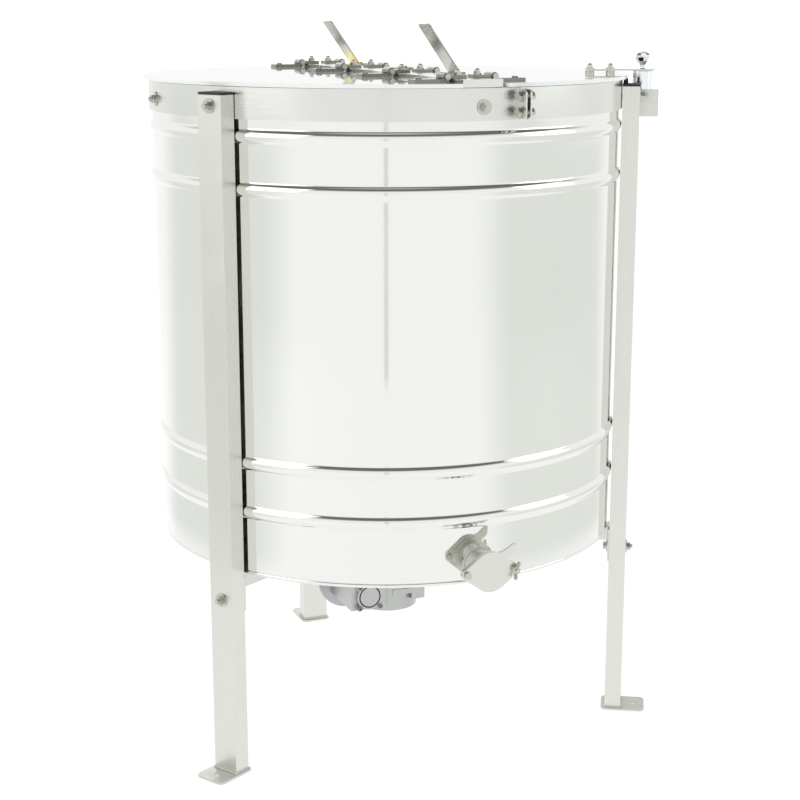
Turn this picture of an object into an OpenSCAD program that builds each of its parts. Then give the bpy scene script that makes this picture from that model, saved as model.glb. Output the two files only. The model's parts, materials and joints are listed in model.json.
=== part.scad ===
// Motor-driven radial honey extractor on three legs.
// Z is up, the floor is z = 0 and the drum's axis is the Z axis.
// The honey gate faces -Y and the bridge across the drum runs along Y.

/* [Drum] */
// Outside diameter of the drum wall
drum_d = 820; // [700:10:1000]
// Thickness of the drum's sheet
sheet_t = 2; // [1:0.5:3]
// Height of the drum's rim above the floor
rim_z = 1160; // [1000:10:1400]
// Height of the drum's underside above the floor
lip_z = 354; // [330:2:430]
// Radius of the rolled lip round the drum's underside
lip_r = 4; // [3:0.5:6]
// How far a bead stands out of the wall
bead_out = 4.5; // [2:0.5:6]
// Height of one bead
bead_h = 22; // [14:1:30]
// Distance between the two beads of a pair
bead_pitch = 84; // [60:2:110]
// Distance from the rim down to the uppermost bead
upper_bead_drop = 78; // [74:1:110]
// Distance from the underside up to the lowest bead
lower_bead_rise = 110; // [96:1:140]
// Rise of the drum's floor from the wall to the centre
floor_rise = 38; // [24:2:50]

/* [Clamp band] */
// Height of the clamp band round the rim
band_h = 50; // [40:1:70]
// Thickness of the clamp band
band_t = 3; // [2:0.5:5]
// Thickness of the folded hem under the band
hem_t = 1.5; // [1:0.5:3]
// Angle of the band's joint, measured from the gate
joint_angle = 8.5; // [8:0.5:20]
// How far the joint's two lugs stand out of the band
lug_out = 28; // [22:1:36]
// Gap between the two lugs
lug_gap = 6; // [5:1:16]

/* [Legs] */
// Width of the leg tube along the drum
leg_w = 50; // [36:1:60]
// Depth of the leg tube away from the drum
leg_d = 30; // [24:1:40]
// Wall of the leg tube
leg_t = 2; // [1.5:0.5:4]
// Distance from the rim down to the top of the tube
leg_drop = 13; // [8:1:20]
// Thickness of the plastic cap on each leg
cap_t = 4; // [2:0.5:6]
// Length of a foot plate
foot_l = 80; // [72:1:110]
// Width of a foot plate
foot_w = 60; // [50:1:90]
// Thickness of a foot plate
foot_t = 4; // [3:0.5:8]
// Corner radius of a foot plate
foot_corner = 10; // [4:1:16]
// Diameter of the floor bolt's hole in a foot plate
foot_hole_d = 10; // [8:0.5:12]
// Distance from the leg's outer face to the floor bolt
foot_hole_out = 23; // [18:1:26]

/* [Bridge and lid] */
// Width of the bridge
bridge_w = 68; // [64:1:90]
// Height of the bridge
bridge_h = 12; // [10:1:20]
// Sheet thickness of the bridge
bridge_t = 2; // [1.5:0.5:3]
// Thickness of the clear lid halves
lid_t = 6; // [4:0.5:10]
// Overhang of the lid past the drum wall
lid_over = 13; // [8:1:15]
// Distance between neighbouring hinges
hinge_pitch = 233; // [180:1:240]
// Length of one hinge's barrel
hinge_w = 30; // [24:1:40]
// Thickness of a hinge leaf
leaf_t = 5; // [3:0.5:6]
// Radius of a hinge barrel
barrel_r = 6.5; // [5.5:0.5:8]
// Radius of a hinge pin
pin_r = 3; // [2:0.5:4]
// Reach of a lid leaf from the hinge pin
leaf_reach = 54; // [44:1:80]
// Height that a lid stop rises
stop_rise = 83; // [60:1:100]
// Distance that a lid stop leans over the bridge
stop_lean = 59; // [40:1:66]
// Width of a lid stop
stop_w = 48; // [30:1:60]
// Thickness of a lid stop
stop_t = 3; // [2:0.5:4]

/* [Lid switch] */
// Angle of the switch from the gate
switch_angle = 66; // [65.5:0.5:72]
// Distance of the switch from the drum wall
switch_out = 40; // [36:1:50]
// Diameter of the switch post
post_d = 34; // [26:1:38]
// Height of the switch post
post_h = 32; // [24:1:40]
// Height of the switch box
box_h = 46; // [36:1:60]
// Travel of the switch plunger
plunger_travel = 4; // [2:0.5:6]
// Width of the strap that works the switch
strap_w = 25; // [18:1:30]
// Diameter of the lid's ball knob
knob_d = 27; // [20:1:34]

/* [Honey gate] */
// Height of the gate's axis above the drum's underside
gate_rise = 35; // [33:1:42]
// Outside radius of the outlet pipe
pipe_r = 25; // [20:0.5:26]
// Wall of the outlet pipe
pipe_t = 1.5; // [1:0.5:3]
// Length of the outlet pipe outside the wall
pipe_out = 46; // [36:1:70]
// Radius of the gate's sliding plate
plate_r = 34; // [32:1:38]
// Thickness of the gate's sliding plate
plate_t = 5; // [4:0.5:8]
// Distance from the gate's axis to its pivot and its stud
ear_x = 42; // [40:1:46]

/* [Cage] */
// Diameter of the cage's shaft
shaft_d = 25; // [20:1:30]
// Radius of the cage's outer rings
cage_r = 380; // [300:5:388]
// Radius of the cage's inner rings
inner_ring_r = 130; // [100:5:160]
// Diameter of the rods
rod_d = 10; // [8:1:12]
// Number of spokes
spokes = 6; // [4:1:8]
// Frame slots between two spokes
slots_per_bay = 3; // [2:1:4]
// Height of the cage between its spokes
cage_h = 588; // [480:4:600]
// Height of the cage's floor above the drum's underside
cage_rise = 93; // [90:1:110]

/* [Drive] */
// Height of the worm's axis above the floor
worm_z = 220; // [210:1:230]
// Distance between the worm and the wheel's axis
centre_distance = 58; // [56:1:62]
// Teeth on the worm wheel
wheel_teeth = 30; // [20:1:40]
// Radius of the worm
worm_r = 16; // [12:1:18]
// Radius of the motor
motor_r = 50; // [44:1:54]
// Length of the motor's ribbed body
motor_l = 150; // [120:5:200]

/* [Fasteners and fits] */
// Radial play of a hinge, shaft or plunger
running_fit = 0.05; // [0.02:0.01:0.1]
// Gap between pieces that move past each other
clearance = 0.3; // [0.3:0.1:0.6]
// Radial play of a bolt in its hole
bolt_play = 0.3; // [0.2:0.1:0.5]

/* [Hidden] */
$fn = 72;
cut = 1;                     // how far a cutting shape passes the face it cuts
drum_r = drum_d / 2;
inner_r = drum_r - sheet_t;
hem_r = drum_r + hem_t;
band_r = hem_r + band_t;
band_fit = 0.15;             // hair-thin gap under the drawn-up band
band_top = rim_z - 1;
band_z = band_top - band_h;
bolt_z = rim_z - 30;         // height of the bolts through the band
wall_z = lip_z + 2 * lip_r;
bead_steps = 5;
bead_zs = [lip_z + lower_bead_rise, lip_z + lower_bead_rise + bead_pitch,
           rim_z - upper_bead_drop - bead_pitch, rim_z - upper_bead_drop];

leg_angles = [-60, 60, 180];
leg_in = max(band_r, drum_r + bead_out) + 0.5;
leg_out = leg_in + leg_d;
leg_top = rim_z - leg_drop;
foot_in = leg_in - 7;
foot_hole_r = leg_out + foot_hole_out;

// M8 and M6 fasteners: thread radius, hexagon corner radius, hexagon height, washer radius
m8 = [4, 7.5, 6.5, 12];
m6 = [3, 5.8, 5, 7];
washer_t = 2;
tail = 4;                    // thread that shows past a nut

// Bridge, hinges and lid
tab_w = 40;
tab_t = 3;
tab_r = inner_r - 0.5;
bridge_top = rim_z + bridge_h;
hinge_x = bridge_w / 2 + 0.5 + barrel_r;
hinge_z = bridge_top + leaf_t / 2;
hinge_ys = [for (i = [-1.5:1:1.5]) i * hinge_pitch];
knuckle_w = hinge_w / 3;
lid_z = rim_z + clearance;
lid_top = lid_z + lid_t;
lid_r = drum_r + lid_over;
lid_edge = hinge_x - 2.4;
leaf_bolt_x = hinge_x + leaf_reach - 12;
bridge_bolt_x = bridge_w / 2 - 17;

// Lid switch
leg_side = leg_w / 2;
switch_r = drum_r + switch_out;
switch_x = switch_r * sin(switch_angle - 60);
switch_y = switch_r * cos(switch_angle - 60);
strap_t = 3;
strap_z = lid_top + 5;
strap_in = drum_r - 59;
strap_end = switch_r + 21;
strap_bolt_rs = [drum_r - 52, drum_r - 16];
post_z = strap_z - clearance - post_h;
box_z = post_z - box_h;
box_t = 2;
box_out = leg_out + 32;
plunger_r = 5;
plunger_l = 20;

// Honey gate, with distances measured out from the drum's axis
gate_z = lip_z + gate_rise;
pipe_end = drum_r + pipe_out;
flange_t = 4;
seal_t = 1.2;
plate_y = pipe_end + seal_t + clearance;
plate_front = plate_y + plate_t;
screw_r = 3;

// Underframe
arm_w = 30;
arm_h = 26;
arm_top = lip_z - clearance;
arm_z = arm_top - arm_h;
arm_bolt_z = arm_z - 14.7;
end_plate_t = 3;
end_plate_drop = 39;
hub_plate_r = 100;
hub_plate_t = 8;
hub_plate_z = arm_z - hub_plate_t;
hub_bolt_r = 78;

// Cage
shaft_r = shaft_d / 2;
rod_r = rod_d / 2;
spoke_w = 24;
spoke_t = 10;
hub_r = 45;
cage_z = lip_z + cage_rise;
cage_top = cage_z + cage_h;
upright_r = cage_r - rod_d;
inner_upright_r = inner_ring_r + rod_d;
rest_w = 18;
rest_t = 5;
shaft_top = rim_z - 14;
shaft_bottom = worm_z - 27;

// Bearings and the drum's floor
bearing_r = 26;
bearing_h = 15;
housing_r = 36;
floor_z = wall_z + floor_rise;
floor_flat_r = 80;
seat_z = floor_z + sheet_t;
seal_h = 7;

// Gearbox and motor
case_t = 5;
case_r = 50 + case_t;
case_z = worm_z - 36;
case_h = 72;
worm_bore_r = worm_r + 3;
worm_l = 52;
wheel_r = centre_distance - worm_r - 0.6;
wheel_h = 30;
gear_half = case_r + 1;      // half the gearbox's length along the worm
cover_t = 7;
flange_h = hub_plate_z - case_z - case_h;
motor_y = gear_half + 8;
fan_cover_l = 46;

// ---- shared shapes ----

// A ring or tube standing on z = 0
module tube(outer, inner, h) {
    difference() {
        cylinder(r = outer, h = h);
        translate([0, 0, -cut]) cylinder(r = inner, h = h + 2 * cut);
    }
}

// Places a piece at an angle round the drum, with its own Z pointing out and Y up
module outward(angle, z, r = 0) {
    rotate([0, 0, angle]) translate([0, 0, z]) rotate([90, 0, 0]) translate([0, 0, r])
        children();
}

// A flat plate with four rounded corners, centred on the Z axis
module rounded_plate(w, l, corner, t) {
    linear_extrude(t) union() {
        square([w - 2 * corner, l], center = true);
        square([w, l - 2 * corner], center = true);
        for (x = [-1, 1], y = [-1, 1])
            translate([x * (w / 2 - corner), y * (l / 2 - corner)]) circle(r = corner);
    }
}

module hexagon(size) {
    cylinder(r = size[1], h = size[2], $fn = 6);
}

// Hexagon nut with a domed end
module dome_nut(size) {
    hexagon(size);
    translate([0, 0, size[2]]) sphere(r = size[1] * 0.78);
}

// Bolt, two washers and a nut, clamping from z = 0 to z = grip
module bolt(size, grip, domed = false) {
    translate([0, 0, -washer_t]) cylinder(r = size[3], h = washer_t);
    translate([0, 0, -washer_t - size[2]]) hexagon(size);
    translate([0, 0, -washer_t]) cylinder(r = size[0], h = grip + 2 * washer_t + size[2]);
    translate([0, 0, grip]) cylinder(r = size[3], h = washer_t);
    translate([0, 0, grip + washer_t]) {
        if (domed) dome_nut(size);
        else {
            hexagon(size);
            cylinder(r = size[0], h = size[2] + tail);
        }
    }
}

// Wing nut standing on z = 0, with its bore along Z
module wing_nut(bore) {
    difference() {
        union() {
            cylinder(r = 6.5, h = 8);
            for (side = [0, 180]) rotate([90, 0, side]) translate([0, 0, -1.25])
                linear_extrude(2.5) polygon([[4, 1], [9, 1], [16, 8], [15, 13], [11, 14], [4, 7]]);
        }
        translate([0, 0, -cut]) cylinder(r = bore, h = 20);
    }
}

// Drill for the bolts that pass out through the drum's rim
module rim_drill(angle) {
    outward(angle, bolt_z, inner_r - 20) cylinder(r = m8[0] + bolt_play, h = 80);
}

// ---- drum ----

function bead_side(z, r) = [for (i = [-bead_steps:bead_steps])
    [r + bead_out * (1 + cos(180 * i / bead_steps)) / 2, z + bead_h / 2 * i / bead_steps]];
function reversed(points) = [for (i = [len(points) - 1:-1:0]) points[i]];
function wall_side(r) = concat([[r, wall_z]], [for (z = bead_zs) each bead_side(z, r)]);

module drum_wall() {
    color("gainsboro") difference() {
        rotate_extrude($fn = 144) polygon(concat(wall_side(drum_r),
            [[drum_r, band_z], [hem_r, band_z], [hem_r, rim_z], [inner_r, rim_z]],
            reversed(wall_side(inner_r))));
        for (a = [0, 90, -90, -60, 60, 180]) rim_drill(a);
        outward(0, gate_z, inner_r - 20) cylinder(r = pipe_r, h = 40);
    }
}

module drum_bottom() {
    edge_r = drum_r - lip_r;
    color("gainsboro") rotate_extrude($fn = 144) {
        translate([edge_r, lip_z + lip_r]) circle(r = lip_r, $fn = 32);
        polygon([[housing_r, floor_z], [floor_flat_r, floor_z], [edge_r - 2, lip_z + lip_r + 1],
                 [edge_r - 2, lip_z + lip_r + 1 + sheet_t], [floor_flat_r, seat_z],
                 [housing_r, seat_z]]);
    }
}

// ---- clamp band ----

module clamp_band() {
    lug_h = band_h - 4;
    color("silver") difference() {
        union() {
            translate([0, 0, band_z]) tube(band_r, hem_r + band_fit, band_h, $fn = 144);
            for (side = [-1, 1]) outward(joint_angle, band_z + band_h / 2, band_r + lug_out / 2 - 1)
                translate([side * (lug_gap + band_t) / 2, 0, 0]) rotate([0, 90, 0])
                    translate([0, 0, -band_t / 2]) rounded_plate(lug_out + 2, lug_h, 7, band_t);
        }
        outward(joint_angle, band_z - cut, hem_r - 5) translate([-lug_gap / 2, 0, 0])
            cube([lug_gap, band_h + 2 * cut, band_t + 12]);
        translate([0, 0, band_z - cut]) cylinder(r = hem_r + band_fit, h = band_h + 2 * cut, $fn = 144);
        for (a = [0, 90, -90, -60, 60, 180]) rim_drill(a);
        clamp_bolt_places() translate([0, 0, -20]) cylinder(r = m8[0] + bolt_play, h = 60);
    }
}

// The two bolt lines across the band's joint, each starting at the left lug's outer face
module clamp_bolt_places() {
    for (z = [12.5, band_h - 12.5]) outward(joint_angle, band_z + z, band_r + lug_out / 2 + 2)
        translate([-lug_gap / 2 - band_t, 0, 0]) rotate([0, 90, 0]) children();
}

module clamp_bolts() {
    small_washer = [m8[0], m8[1], m8[2], 9];
    color("lightgray") clamp_bolt_places() bolt(small_washer, lug_gap + 2 * band_t, domed = true);
}

module band_bolts() {
    side_seat = inner_r - 0.2;
    color("lightgray") {
        outward(0, bolt_z, tab_r - tab_t) bolt(m8, band_r - tab_r + tab_t);
        for (a = [-90, 90]) outward(a, bolt_z, side_seat) bolt(m8, band_r - side_seat);
    }
}

// ---- legs ----

module leg(angle) {
    inner_w = leg_w - 2 * leg_t;
    color("silver") difference() {
        rotate([0, 0, angle]) translate([0, -leg_in - leg_d / 2, foot_t]) difference() {
            translate([-leg_w / 2, -leg_d / 2, 0]) cube([leg_w, leg_d, leg_top - foot_t]);
            translate([-inner_w / 2, -leg_d / 2 + leg_t, -cut])
                cube([inner_w, leg_d - 2 * leg_t, leg_top + 2 * cut]);
        }
        rim_drill(angle);
        outward(angle, arm_bolt_z, leg_in - cut) cylinder(r = m8[0] + bolt_play, h = leg_d + 2 * cut);
    }
}

module leg_left() leg(leg_angles[0]);
module leg_right() {
    color("silver") difference() {
        leg(leg_angles[1]);
        switch_box_screw_places() cylinder(r = screw_r, h = 20, center = true);
    }
}
module leg_back() leg(leg_angles[2]);

module leg_caps() {
    plug_h = 10;
    color("black") for (a = leg_angles) rotate([0, 0, a]) translate([0, -leg_in - leg_d / 2, leg_top]) {
        rounded_plate(leg_w, leg_d, 3, cap_t);
        translate([-leg_w / 2 + leg_t, -leg_d / 2 + leg_t, -plug_h])
            cube([leg_w - 2 * leg_t, leg_d - 2 * leg_t, plug_h]);
    }
}

// The rubber block on the right leg that takes the weight of the lid's edge
module lid_rest() {
    pad = [20, 8];
    h = lid_z - clearance - leg_top - cap_t;
    color("black") rotate([0, 0, 60]) translate([0, -leg_in - 1 - pad[1] / 2, leg_top + cap_t])
        rounded_plate(pad[0], pad[1], 2, h);
}

module foot_plates() {
    color("silver") for (a = leg_angles) rotate([0, 0, a]) difference() {
        translate([0, -foot_in - foot_l / 2, 0]) rounded_plate(foot_w, foot_l, foot_corner, foot_t);
        translate([0, -foot_hole_r, -cut]) cylinder(d = foot_hole_d, h = foot_t + 2 * cut);
    }
}

module leg_bolts() {
    side_seat = inner_r - 0.2;
    color("lightgray") {
        for (a = [-60, 60]) outward(a, bolt_z, side_seat) bolt(m8, leg_out - side_seat);
        outward(180, bolt_z, tab_r - tab_t) bolt(m8, leg_out - tab_r + tab_t);
        for (a = leg_angles) outward(a, arm_bolt_z, leg_in - end_plate_t) bolt(m8, leg_d + end_plate_t);
    }
}

// ---- underframe ----

module underframe_arms() {
    arm_in = housing_r + 14;
    arm_l = leg_in - end_plate_t - arm_in;
    color("silver") for (a = leg_angles) rotate([0, 0, a]) difference() {
        translate([-arm_w / 2, -arm_in - arm_l, arm_z]) cube([arm_w, arm_l, arm_h]);
        translate([-arm_w / 2 + 2, -arm_in - arm_l - cut, arm_z + 2])
            cube([arm_w - 4, arm_l + 2 * cut, arm_h - 4]);
    }
}

module arm_end_plates() {
    plate_h = arm_h + end_plate_drop;
    color("silver") for (a = leg_angles) difference() {
        outward(a, arm_top - plate_h / 2, leg_in - end_plate_t)
            rounded_plate(leg_w, plate_h, 5, end_plate_t);
        outward(a, arm_bolt_z, leg_in - 10) cylinder(r = m8[0] + bolt_play, h = 20);
    }
}

module hub_bolt_places() {
    for (a = [0, 120, 240]) rotate([0, 0, a]) translate([0, -hub_bolt_r, 0]) children();
}

module gearbox_plate() {
    color("silver") difference() {
        translate([0, 0, hub_plate_z]) tube(hub_plate_r, housing_r - 6, hub_plate_t);
        hub_bolt_places() translate([0, 0, hub_plate_z - cut])
            cylinder(r = m8[0] + bolt_play, h = hub_plate_t + 2 * cut);
    }
}

// ---- drive ----

// Turns a piece so that its Z runs back along the worm's axis, starting at y
module along_worm(y) {
    translate([-centre_distance, y, worm_z]) rotate([-90, 0, 0]) children();
}

module gearbox_housing() {
    lug = 26;
    lug_h = 24;
    color("gray") difference() {
        union() {
            translate([0, 0, case_z]) cylinder(r = case_r, h = case_h);
            translate([-centre_distance - 34, -gear_half, worm_z - 26]) cube([68, 2 * gear_half, 52]);
            for (x = [-centre_distance - 34, 28], y = [-gear_half, gear_half - lug])
                translate([x, y, worm_z - lug_h / 2 - 6]) cube([lug, lug, lug_h]);
            translate([-10, -gear_half, worm_z - 6]) cube([50, 2 * gear_half, 10]);
        }
        translate([0, 0, case_z + case_t]) cylinder(r = case_r - case_t, h = case_h - 2 * case_t);
        translate([0, 0, case_z - cut]) cylinder(r = shaft_r + 0.5, h = case_h + 2 * cut);
        along_worm(-gear_half - cut) cylinder(r = worm_bore_r, h = 2 * gear_half + 2 * cut);
        for (x = [-centre_distance - 21, 41], y = [-gear_half + lug / 2, gear_half - lug / 2])
            translate([x, y, worm_z - 40]) cylinder(r = 4, h = 22 + lug_h / 2);
    }
}

module gearbox_flange() {
    z = case_z + case_h;
    color("gray") difference() {
        union() {
            translate([0, 0, z]) cylinder(r = case_r - 2, h = 8);
            translate([0, 0, z]) cylinder(r = 40, h = flange_h);
            translate([0, 0, z + flange_h - 9]) cylinder(r = hub_plate_r - 10, h = 9);
        }
        translate([0, 0, z - cut]) cylinder(r = 28, h = flange_h + 2 * cut);
        hub_bolt_places() translate([0, 0, z]) cylinder(r = m8[0] + bolt_play, h = flange_h + cut);
    }
}

module cover_screw_places() {
    for (a = [45:90:315]) along_worm(-gear_half - cover_t) rotate([0, 0, a]) translate([28, 0, 0])
        children();
}

module worm_cover() {
    groove = [18.5, 21];
    color("silver") difference() {
        union() {
            along_worm(-gear_half - cover_t) rotate_extrude() polygon([[0, 0], [groove[0], 0],
                [groove[0], 1.5], [groove[1], 1.5], [groove[1], 0], [24.5, 0], [24.5, cover_t],
                [0, cover_t]]);
            cover_screw_places() cylinder(r = 6.2, h = cover_t);
        }
        cover_screw_places() translate([0, 0, -cut]) cylinder(r = 2.6, h = cover_t + 2 * cut);
    }
}

module gearbox_screws() {
    color("dimgray") {
        hub_bolt_places() translate([0, 0, hub_plate_z - 9])
            bolt([m8[0], m8[1], m8[2], 8], hub_plate_t + 9);
        cover_screw_places() {
            translate([0, 0, 2]) cylinder(r = 2.5, h = cover_t - 2);
            difference() {
                translate([0, 0, -3]) cylinder(r = 4.4, h = 3);
                translate([0, 0, -4]) cylinder(r = 2, h = 3, $fn = 6);
            }
            translate([0, 0, -0.5]) cylinder(r = 2.5, h = 3);
        }
    }
}

module motor_body() {
    flange_l = motor_y - gear_half;
    fins = 20;
    color("slategray") difference() {
        union() {
            along_worm(gear_half) cylinder(r = motor_r + 8, h = flange_l);
            along_worm(motor_y) cylinder(r = motor_r - 6, h = motor_l);
            for (i = [0:fins - 1]) along_worm(motor_y) rotate([0, 0, i * 360 / fins + 9])
                translate([motor_r - 8, -1.5, 0]) cube([8, 3, motor_l]);
        }
        along_worm(gear_half - cut) cylinder(r = worm_bore_r, h = flange_l + 10);
        along_worm(motor_y + 8) cylinder(r = motor_r - 14, h = motor_l);
    }
}

module fan_cover() {
    color("dimgray") difference() {
        along_worm(motor_y + motor_l) cylinder(r = motor_r, h = fan_cover_l);
        along_worm(motor_y + motor_l - cut) cylinder(r = motor_r - 2, h = fan_cover_l - 1);
        for (ring_r = [14, 26, 38], a = [0:45:315])
            along_worm(motor_y + motor_l) rotate([0, 0, a + ring_r]) translate([ring_r, 0, 0])
                cylinder(r = 3.6, h = fan_cover_l + cut);
    }
}

module terminal_box() {
    w = 56;
    l = 70;
    z = worm_z + motor_r;
    color("dimgray") difference() {
        translate([-centre_distance, motor_y + 30 + l / 2, z]) rounded_plate(w, l, 6, 40);
        translate([-centre_distance - w / 2 + 3, motor_y + 33, z + 3]) cube([w - 6, l - 6, 32]);
        translate([-centre_distance + w / 2 - 5, motor_y + 30 + l / 2, z + 18]) rotate([0, 90, 0])
            cylinder(r = 8, h = 10);
    }
}

module cable_gland() {
    z = worm_z + motor_r + 18;
    color("black") translate([-centre_distance + 28, motor_y + 65, z]) rotate([0, 90, 0])
        difference() {
            union() {
                translate([0, 0, -3]) cylinder(r = 8, h = 8);
                cylinder(r = 11, h = 5, $fn = 6);
                cylinder(r = 9, h = 18);
            }
            translate([0, 0, -4]) cylinder(r = 4, h = 30);
        }
}

module worm_wheel() {
    color("goldenrod") difference() {
        translate([0, 0, worm_z - wheel_h / 2]) tube(wheel_r, shaft_r, wheel_h);
        for (i = [0:wheel_teeth - 1]) rotate([0, 0, (i + 0.5) * 360 / wheel_teeth])
            translate([wheel_r + 1, 0, worm_z - wheel_h]) cylinder(r = 2.6, h = 2 * wheel_h);
    }
}

module worm_shaft() {
    rotor_y = motor_y + 14;
    color("lightgray") {
        along_worm(-worm_l / 2) cylinder(r = worm_r, h = worm_l);
        along_worm(-gear_half + 2) cylinder(r = 9, h = gear_half + motor_y + motor_l + 24);
        along_worm(rotor_y) cylinder(r = motor_r - 15, h = motor_l - 22);
    }
}

module motor_fan() {
    y = motor_y + motor_l + 6;
    color("dimgray") difference() {
        union() {
            along_worm(y) cylinder(r = 18, h = 14);
            for (a = [0:60:300]) along_worm(y + 1) rotate([0, 0, a]) translate([13, -1, 0])
                cube([motor_r - 19, 2, 11]);
        }
        along_worm(y - cut) cylinder(r = 9, h = 40);
    }
}

// ---- bearings under the drum and on the bridge ----

module bearing_housing() {
    color("lightgray") difference() {
        union() {
            translate([0, 0, arm_z]) cylinder(r = housing_r, h = seat_z - arm_z + 8);
            translate([0, 0, seat_z]) cylinder(r = floor_flat_r - 15, h = 6);
        }
        translate([0, 0, arm_z - cut]) cylinder(r = 22, h = 200);
        translate([0, 0, seat_z + 8 - seal_h - bearing_h]) cylinder(r = bearing_r, h = 60);
    }
}

module bottom_bearing() {
    color("silver") translate([0, 0, seat_z + 8 - seal_h - bearing_h])
        tube(bearing_r, shaft_r + running_fit, bearing_h);
}

module shaft_seal() {
    color("black") translate([0, 0, seat_z + 8 - seal_h])
        tube(bearing_r, shaft_r + running_fit, seal_h);
}

module top_bearing_housing() {
    top = bridge_top - bridge_t;
    color("lightgray") difference() {
        translate([0, 0, shaft_top - 26]) cylinder(r = bridge_w / 2 - bridge_t - 1, h = top - shaft_top + 26);
        translate([0, 0, shaft_top - 27]) cylinder(r = bearing_r, h = 5 + bearing_h);
        translate([0, 0, shaft_top - 27]) cylinder(r = shaft_r + 2, h = 29);
    }
}

module top_bearing() {
    color("silver") translate([0, 0, shaft_top - 22]) rotate([180, 0, 0]) translate([0, 0, -bearing_h])
        tube(bearing_r, shaft_r + running_fit, bearing_h);
}

// ---- bridge and hinges ----

module bridge() {
    half_l = drum_r;
    tab_h = bridge_top - bolt_z + 14;
    color("gainsboro") difference() {
        union() {
            translate([-bridge_w / 2, -half_l, rim_z]) cube([bridge_w, 2 * half_l, bridge_h]);
            for (a = [0, 180]) rotate([0, 0, a])
                translate([-tab_w / 2, -tab_r, bridge_top - tab_h]) cube([tab_w, tab_t, tab_h - bridge_t]);
        }
        translate([-bridge_w / 2 + bridge_t, -tab_r + tab_t, rim_z - cut])
            cube([bridge_w - 2 * bridge_t, 2 * (tab_r - tab_t), bridge_h - bridge_t + cut]);
        for (a = [0, 180]) rim_drill(a);
        for (y = hinge_ys, side = [-1, 1]) translate([side * bridge_bolt_x, y, rim_z])
            cylinder(r = m6[0] + bolt_play, h = bridge_h + cut);
    }
}

// Three knuckles side by side make one hinge; `middle` picks the bridge's own knuckle
module knuckle(y, from, w, side) {
    translate([side * hinge_x, y + from, hinge_z]) rotate([-90, 0, 0]) cylinder(r = barrel_r, h = w);
}

module bridge_leaf(y, side) {
    near = bridge_bolt_x - 10;
    leaf_l = bridge_w / 2 - near;
    difference() {
        union() {
            knuckle(y, -knuckle_w / 2, knuckle_w, side);
            translate([side > 0 ? near : -near - leaf_l, y - hinge_w / 2, bridge_top])
                cube([leaf_l, hinge_w, leaf_t]);
            translate([side > 0 ? near : -hinge_x, y - knuckle_w / 2, bridge_top])
                cube([hinge_x - near, knuckle_w, leaf_t]);
        }
        translate([side * hinge_x, y - hinge_w, hinge_z]) rotate([-90, 0, 0])
            cylinder(r = pin_r, h = 2 * hinge_w);
        translate([side * bridge_bolt_x, y, bridge_top - cut])
            cylinder(r = m6[0] + bolt_play, h = leaf_t + 2 * cut);
    }
}

module bridge_leaves() {
    color("silver") for (y = hinge_ys, side = [-1, 1]) bridge_leaf(y, side);
}

module hinge_pins() {
    color("lightgray") for (y = hinge_ys, x = [-hinge_x, hinge_x])
        translate([x, y - hinge_w / 2 - 2, hinge_z]) rotate([-90, 0, 0]) {
            cylinder(r = pin_r, h = hinge_w + 4);
            translate([0, 0, -2.5]) cylinder(r = pin_r + 1.8, h = 2.5 + 2 - clearance);
            translate([0, 0, hinge_w + 2 + clearance]) cylinder(r = pin_r + 1.8, h = 2.5);
        }
}

module bridge_bolts() {
    grip = bridge_t + leaf_t;
    color("lightgray") for (y = hinge_ys, x = [-bridge_bolt_x, bridge_bolt_x])
        translate([x, y, bridge_top - bridge_t]) bolt([m6[0], m6[1], 3.5, 6.5], grip, domed = true);
}

module lid_leaf(y, side) {
    side_w = knuckle_w - clearance;
    notch = barrel_r + 0.7;
    difference() {
        union() {
            knuckle(y, -hinge_w / 2, side_w, side);
            knuckle(y, hinge_w / 2 - side_w, side_w, side);
            translate([side > 0 ? hinge_x : -hinge_x - leaf_reach, y - hinge_w / 2, lid_top])
                cube([leaf_reach, hinge_w, leaf_t]);
        }
        translate([side > 0 ? hinge_x - cut : -hinge_x - notch, y - knuckle_w / 2 - clearance, lid_top - cut])
            cube([notch + cut, knuckle_w + 2 * clearance, leaf_t + 2 * cut]);
        translate([side * hinge_x, y - hinge_w, hinge_z]) rotate([-90, 0, 0])
            cylinder(r = pin_r + running_fit, h = 2 * hinge_w);
        translate([side * leaf_bolt_x, y, lid_top - cut])
            cylinder(r = m6[0] + bolt_play, h = leaf_t + 2 * cut);
    }
}

module right_leaves() {
    color("silver") for (y = hinge_ys) lid_leaf(y, 1);
}

module left_leaves() {
    color("silver") for (y = hinge_ys) lid_leaf(y, -1);
}

// A low-headed screw down through a leaf and the lid, with its washer and nut under the lid
module leaf_bolt() {
    top = lid_t + leaf_t;
    translate([0, 0, top]) cylinder(r1 = 6, r2 = 4.5, h = 2.5);
    translate([0, 0, -washer_t - m6[2] - 2]) cylinder(r = m6[0], h = top + washer_t + m6[2] + 3);
    translate([0, 0, -washer_t]) cylinder(r = 8, h = washer_t);
    translate([0, 0, -washer_t - m6[2]]) hexagon(m6);
}

module right_leaf_bolts() {
    color("lightgray") for (y = hinge_ys) translate([leaf_bolt_x, y, lid_z]) leaf_bolt();
}

module left_leaf_bolts() {
    color("lightgray") for (y = hinge_ys) translate([-leaf_bolt_x, y, lid_z]) leaf_bolt();
}

module lid_half(side) {
    difference() {
        translate([0, 0, lid_z]) cylinder(r = lid_r, h = lid_t, $fn = 144);
        translate([side > 0 ? -lid_r - cut : -lid_edge, -lid_r - cut, lid_z - cut])
            cube([lid_r + cut + lid_edge, 2 * lid_r + 2 * cut, lid_t + 2 * cut]);
        for (y = hinge_ys) translate([side * leaf_bolt_x, y, lid_z - cut])
            cylinder(r = m6[0] + bolt_play, h = lid_t + 2 * cut);
    }
}

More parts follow.
